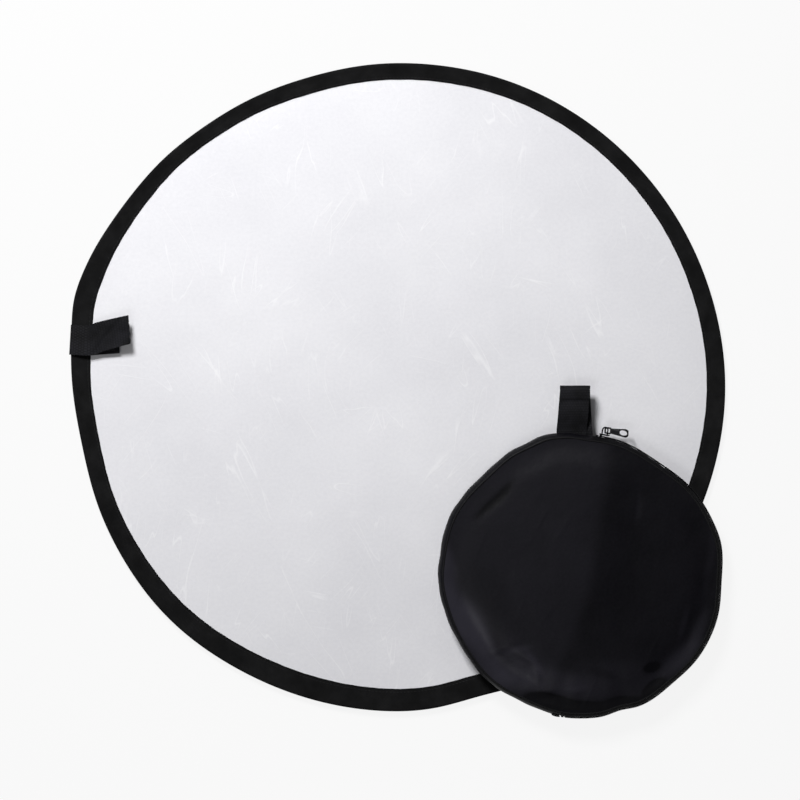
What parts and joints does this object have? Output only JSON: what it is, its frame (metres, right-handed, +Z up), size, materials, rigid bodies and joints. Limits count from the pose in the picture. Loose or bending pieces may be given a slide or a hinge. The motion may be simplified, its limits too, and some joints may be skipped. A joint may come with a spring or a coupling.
{
  "type": "collapsible reflector disc",
  "caption": "Pop-up round light reflector: spring hoop in a black rim, white and silver cloth faces, closing strap, and its zipped round carry bag lying on the rim.",
  "frame": {"origin": "centre of the disc's round part, on the surface that the disc lies on", "axes": "+Z up, out of the white front face; +X right and +Y away from the user, with the carry bag at +X -Y; the outline's soft corner and the strap are on the -X side"},
  "size_m": [0.6027, 0.6031, 0.0287],
  "materials": {
    "spring_steel": "bare spring steel",
    "sleeve_metal": "crimped aluminium",
    "binding": "black woven polyester tape",
    "front_cloth": "white satin-coated polyester",
    "back_cloth": "silver metallised polyester",
    "thread": "black polyester thread",
    "webbing": "black polypropylene webbing",
    "pile": "black loop pile",
    "hooks": "black moulded hooks",
    "bag_cloth": "black coated nylon satin",
    "edge_tape": "black woven edge tape",
    "zip_tape": "black woven zip tape",
    "zip_coil": "black nylon coil",
    "zip_metal": "black lacquered zinc"
  },
  "bodies": {
    "disc_right": {"spring_hoop_right": "spring_steel", "rim_binding_right": "binding", "front_fabric_right": "front_cloth", "back_fabric_right": "back_cloth", "seam_thread_right": "thread"},
    "disc_left": {"spring_hoop_left": "spring_steel", "hoop_sleeve": "sleeve_metal", "rim_binding_left": "binding", "front_fabric_left": "front_cloth", "back_fabric_left": "back_cloth", "seam_thread_left": "thread", "strap_root": "webbing", "strap_stitching": "thread"},
    "strap_lower": {"strap_lower_tail": "webbing", "strap_loop_patch": "pile"},
    "strap_upper": {"strap_upper_tail": "webbing", "strap_hook_patch": "hooks"},
    "bag": {"bag_back_panel": "bag_cloth", "bag_gusset": "bag_cloth", "bag_front_panel": "bag_cloth", "bag_edge_tape_back": "edge_tape", "bag_edge_tape_front": "edge_tape", "zip_tape_back": "zip_tape", "zip_coil_back": "zip_coil", "zip_top_stop_back": "zip_metal", "zip_bottom_stop": "zip_metal", "zip_end_tab": "bag_cloth", "bag_loop_root": "webbing", "bag_loop_stitching": "thread"},
    "bag_mouth": {"bag_mouth_flap": "bag_cloth", "bag_edge_tape_flap": "edge_tape", "zip_tape_front": "zip_tape", "zip_coil_front": "zip_coil", "zip_top_stop_front": "zip_metal"},
    "zip_slider": {"zip_slider_body": "zip_metal"},
    "zip_pull": {"zip_pull": "zip_metal"},
    "bag_loop": {"bag_loop": "webbing"}
  },
  "joints": [
    {"name": "disc_fold", "type": "hinge", "parent": "disc_right", "child": "disc_left", "pos_m": [0, 0, 0.0072], "axis": [0, 1, 0], "range_deg": [0, 90], "stiffness_Nm_per_rad": 0.8},
    {"name": "strap_lower_bend", "type": "hinge", "parent": "disc_left", "child": "strap_lower", "pos_m": [-0.28732, 0.04241, 0.0097], "axis": [-0.0576, -0.9983, 0], "range_deg": [-6, 60], "stiffness_Nm_per_rad": 0.012},
    {"name": "strap_upper_bend", "type": "hinge", "parent": "strap_lower", "child": "strap_upper", "pos_m": [-0.28732, 0.04241, 0.0097], "axis": [-0.0576, -0.9983, 0], "range_deg": [-2, 100], "stiffness_Nm_per_rad": 0.012},
    {"name": "bag_lift", "type": "slide", "parent": "disc_right", "child": "bag", "axis": [0, 0, 1], "range_m": [0, 0.15]},
    {"name": "bag_loop_bend", "type": "hinge", "parent": "bag", "child": "bag_loop", "pos_m": [0.1583, -0.04163, 0.0181], "axis": [1, 0, 0], "range_deg": [-8, 90], "stiffness_Nm_per_rad": 0.03},
    {"name": "zip_travel", "type": "hinge", "parent": "bag", "child": "zip_slider", "pos_m": [0.1666, -0.17373, 0.0181], "axis": [0, 0, -1], "range_deg": [0, 172]},
    {"name": "bag_mouth_open", "type": "hinge", "parent": "bag", "child": "bag_mouth", "pos_m": [0.16164, -0.17314, 0.0287], "axis": [-0.1167, -0.9932, 0], "range_deg": [0, 70]},
    {"name": "zip_pull_swing", "type": "hinge", "parent": "zip_slider", "child": "zip_pull", "pos_m": [0.18829, -0.03977, 0.0181], "axis": [-0.1225, -0.7562, 0.6428], "range_deg": [0, 150]}
  ],
  "couplings": [
    {"joint": "bag_mouth_open", "follows": "zip_travel", "ratio": 0.40698}
  ]
}
